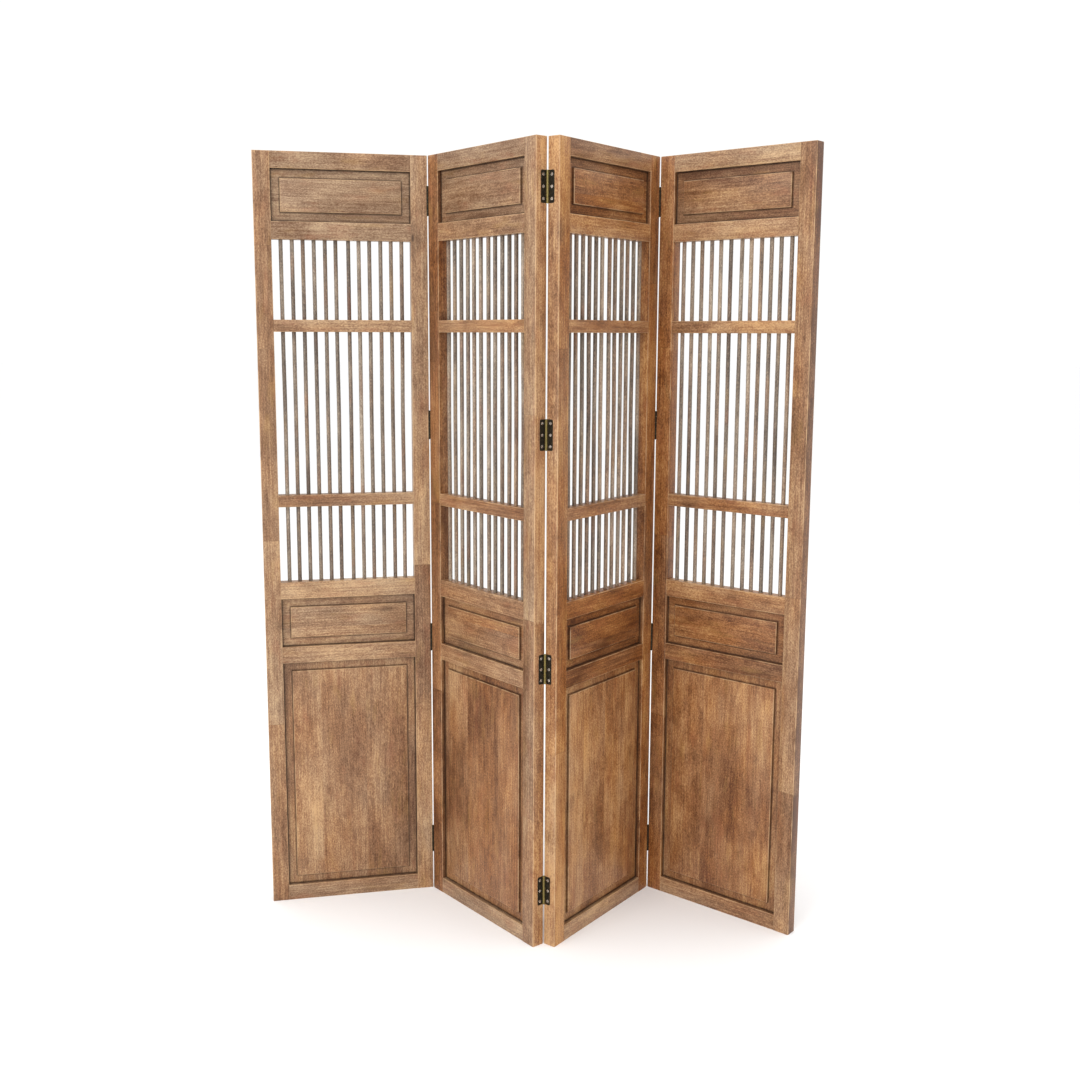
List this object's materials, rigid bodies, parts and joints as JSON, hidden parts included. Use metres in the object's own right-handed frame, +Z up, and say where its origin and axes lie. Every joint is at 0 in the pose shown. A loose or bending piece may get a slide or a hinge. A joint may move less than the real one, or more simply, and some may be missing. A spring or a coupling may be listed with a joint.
{
  "type": "folding room divider screen",
  "caption": "Free-standing folding wooden screen with raised panels, a lattice of round dowels, and hinges between its panels, shown part folded.",
  "frame": {"origin": "on the floor, under the middle of the box round the screen as it stands part folded", "axes": "+Z up; -Y towards a person facing the screen's front; +X to that person's right"},
  "size_m": [1.2638, 0.339, 1.8],
  "materials": {
    "frame_wood": "stained warm brown hardwood, satin lacquer",
    "raised_panel_wood": "edge-glued boards, stained brown with dark glaze in the sunk borders",
    "dowel_wood": "turned dowels, stained brown, satin",
    "bronzed_hinge_leaf": "dark antique bronze, worn on the barrel",
    "brass_pin": "dull brass",
    "bright_screw": "bright zinc"
  },
  "bodies": {
    "panel_1": {"panel_1_bottom_panel": "raised_panel_wood", "panel_1_bottom_rail": "frame_wood", "panel_1_dowels": "dowel_wood", "panel_1_frieze_panel": "raised_panel_wood", "panel_1_frieze_rail": "frame_wood", "panel_1_hinge_screws": "bright_screw", "panel_1_lattice_rails": "frame_wood", "panel_1_left_stile": "frame_wood", "panel_1_middle_panel": "raised_panel_wood", "panel_1_middle_rail": "frame_wood", "panel_1_right_hinge_leaves": "bronzed_hinge_leaf", "panel_1_right_stile": "frame_wood", "panel_1_sill_rail": "frame_wood", "panel_1_top_rail": "frame_wood"},
    "panel_2": {"panel_2_bottom_panel": "raised_panel_wood", "panel_2_bottom_rail": "frame_wood", "panel_2_dowels": "dowel_wood", "panel_2_frieze_panel": "raised_panel_wood", "panel_2_frieze_rail": "frame_wood", "panel_2_hinge_pins": "brass_pin", "panel_2_hinge_screws": "bright_screw", "panel_2_lattice_rails": "frame_wood", "panel_2_left_hinge_leaves": "bronzed_hinge_leaf", "panel_2_left_stile": "frame_wood", "panel_2_middle_panel": "raised_panel_wood", "panel_2_middle_rail": "frame_wood", "panel_2_right_hinge_leaves": "bronzed_hinge_leaf", "panel_2_right_stile": "frame_wood", "panel_2_sill_rail": "frame_wood", "panel_2_top_rail": "frame_wood"},
    "panel_3": {"panel_3_bottom_panel": "raised_panel_wood", "panel_3_bottom_rail": "frame_wood", "panel_3_dowels": "dowel_wood", "panel_3_frieze_panel": "raised_panel_wood", "panel_3_frieze_rail": "frame_wood", "panel_3_hinge_pins": "brass_pin", "panel_3_hinge_screws": "bright_screw", "panel_3_lattice_rails": "frame_wood", "panel_3_left_hinge_leaves": "bronzed_hinge_leaf", "panel_3_left_stile": "frame_wood", "panel_3_middle_panel": "raised_panel_wood", "panel_3_middle_rail": "frame_wood", "panel_3_right_hinge_leaves": "bronzed_hinge_leaf", "panel_3_right_stile": "frame_wood", "panel_3_sill_rail": "frame_wood", "panel_3_top_rail": "frame_wood"},
    "panel_4": {"panel_4_bottom_panel": "raised_panel_wood", "panel_4_bottom_rail": "frame_wood", "panel_4_dowels": "dowel_wood", "panel_4_frieze_panel": "raised_panel_wood", "panel_4_frieze_rail": "frame_wood", "panel_4_hinge_screws": "bright_screw", "panel_4_lattice_rails": "frame_wood", "panel_4_left_hinge_leaves": "bronzed_hinge_leaf", "panel_4_left_stile": "frame_wood", "panel_4_middle_panel": "raised_panel_wood", "panel_4_middle_rail": "frame_wood", "panel_4_right_stile": "frame_wood", "panel_4_sill_rail": "frame_wood", "panel_4_top_rail": "frame_wood"}
  },
  "joints": [
    {"name": "left_fold", "type": "hinge", "parent": "panel_2", "child": "panel_1", "pos_m": [-0.23551, 0.14039, 0.9], "axis": [0, 0, 1], "range_deg": [-63.2, 116.8]},
    {"name": "centre_fold", "type": "hinge", "parent": "panel_2", "child": "panel_3", "pos_m": [0.03974, -0.152, 0.9], "axis": [0, 0, 1], "range_deg": [-103.7, 76.3]},
    {"name": "right_fold", "type": "hinge", "parent": "panel_3", "child": "panel_4", "pos_m": [0.30724, 0.1475, 0.9], "axis": [0, 0, 1], "range_deg": [-87.4, 92.6]}
  ]
}
